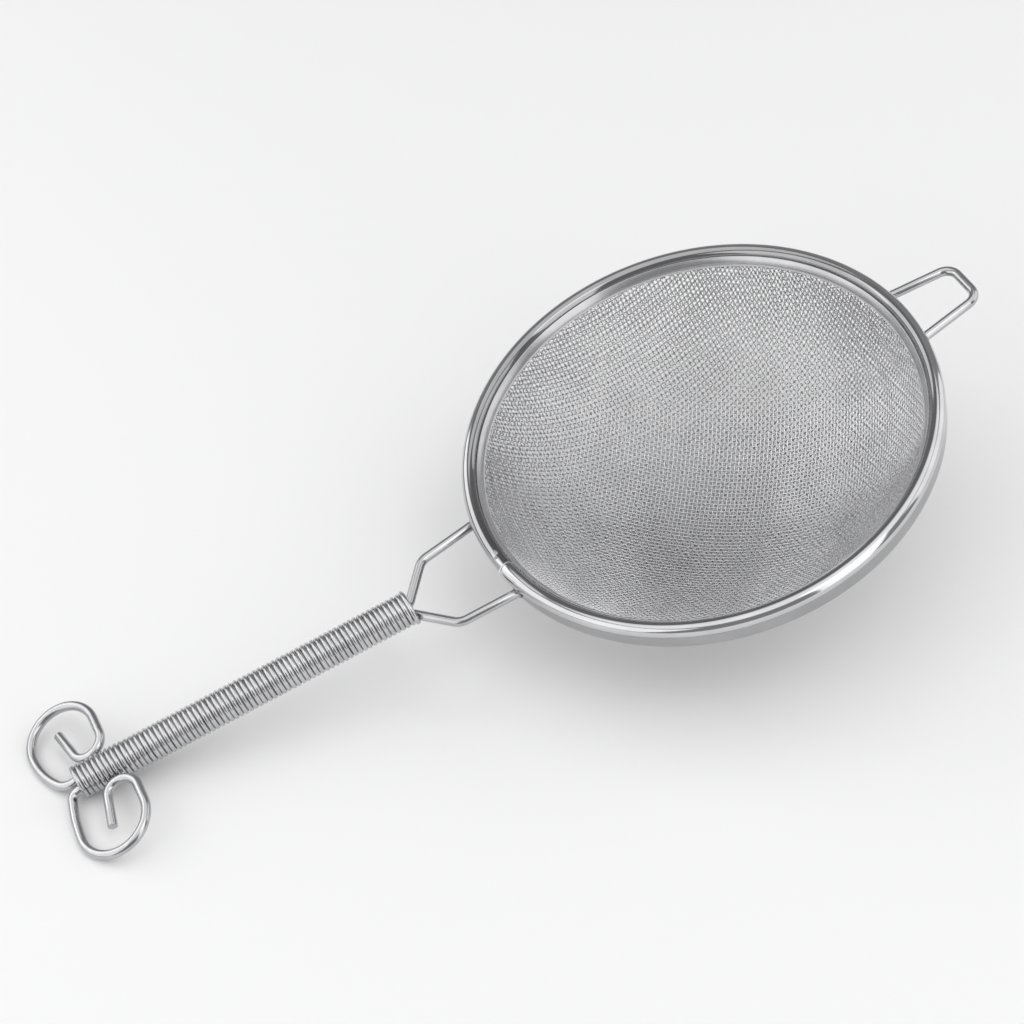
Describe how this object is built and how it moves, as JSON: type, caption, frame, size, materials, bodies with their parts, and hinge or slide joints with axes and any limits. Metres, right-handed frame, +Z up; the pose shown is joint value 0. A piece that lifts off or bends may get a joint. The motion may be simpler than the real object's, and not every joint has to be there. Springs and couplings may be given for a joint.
{
  "type": "double sieve strainer",
  "caption": "Hand strainer with a domed bowl of double wire cloth in a rolled rim, a wire-wrapped grip ending in scrolls, and a hook that rests on a bucket's edge.",
  "frame": {"origin": "middle of the footprint, on the table that the bowl's foot and the two scrolls rest on", "axes": "+X from the grip towards the rest hook, +Y to the left of someone holding the grip, +Z up"},
  "size_m": [0.422, 0.2, 0.0888],
  "materials": {
    "rim_steel": "polished stainless strip with faint rolling lines",
    "band_steel": "polished stainless strip",
    "fine_cloth": "bright drawn wire, plain weave",
    "coarse_cloth": "bright drawn wire, plain weave",
    "frame_steel": "bright drawn wire",
    "wrap_steel": "bright drawn wire, close wound",
    "weld_steel": "satin weld metal, slightly heat-darkened"
  },
  "bodies": {
    "root": {"rim_strip": "rim_steel", "rim_hoop": "rim_steel", "clamp_band": "band_steel", "fine_mesh": "fine_cloth", "coarse_mesh": "coarse_cloth", "left_handle_wire": "frame_steel", "right_handle_wire": "frame_steel", "grip_coil": "wrap_steel", "rest_hook": "frame_steel", "weld_tacks": "weld_steel"}
  },
  "joints": []
}
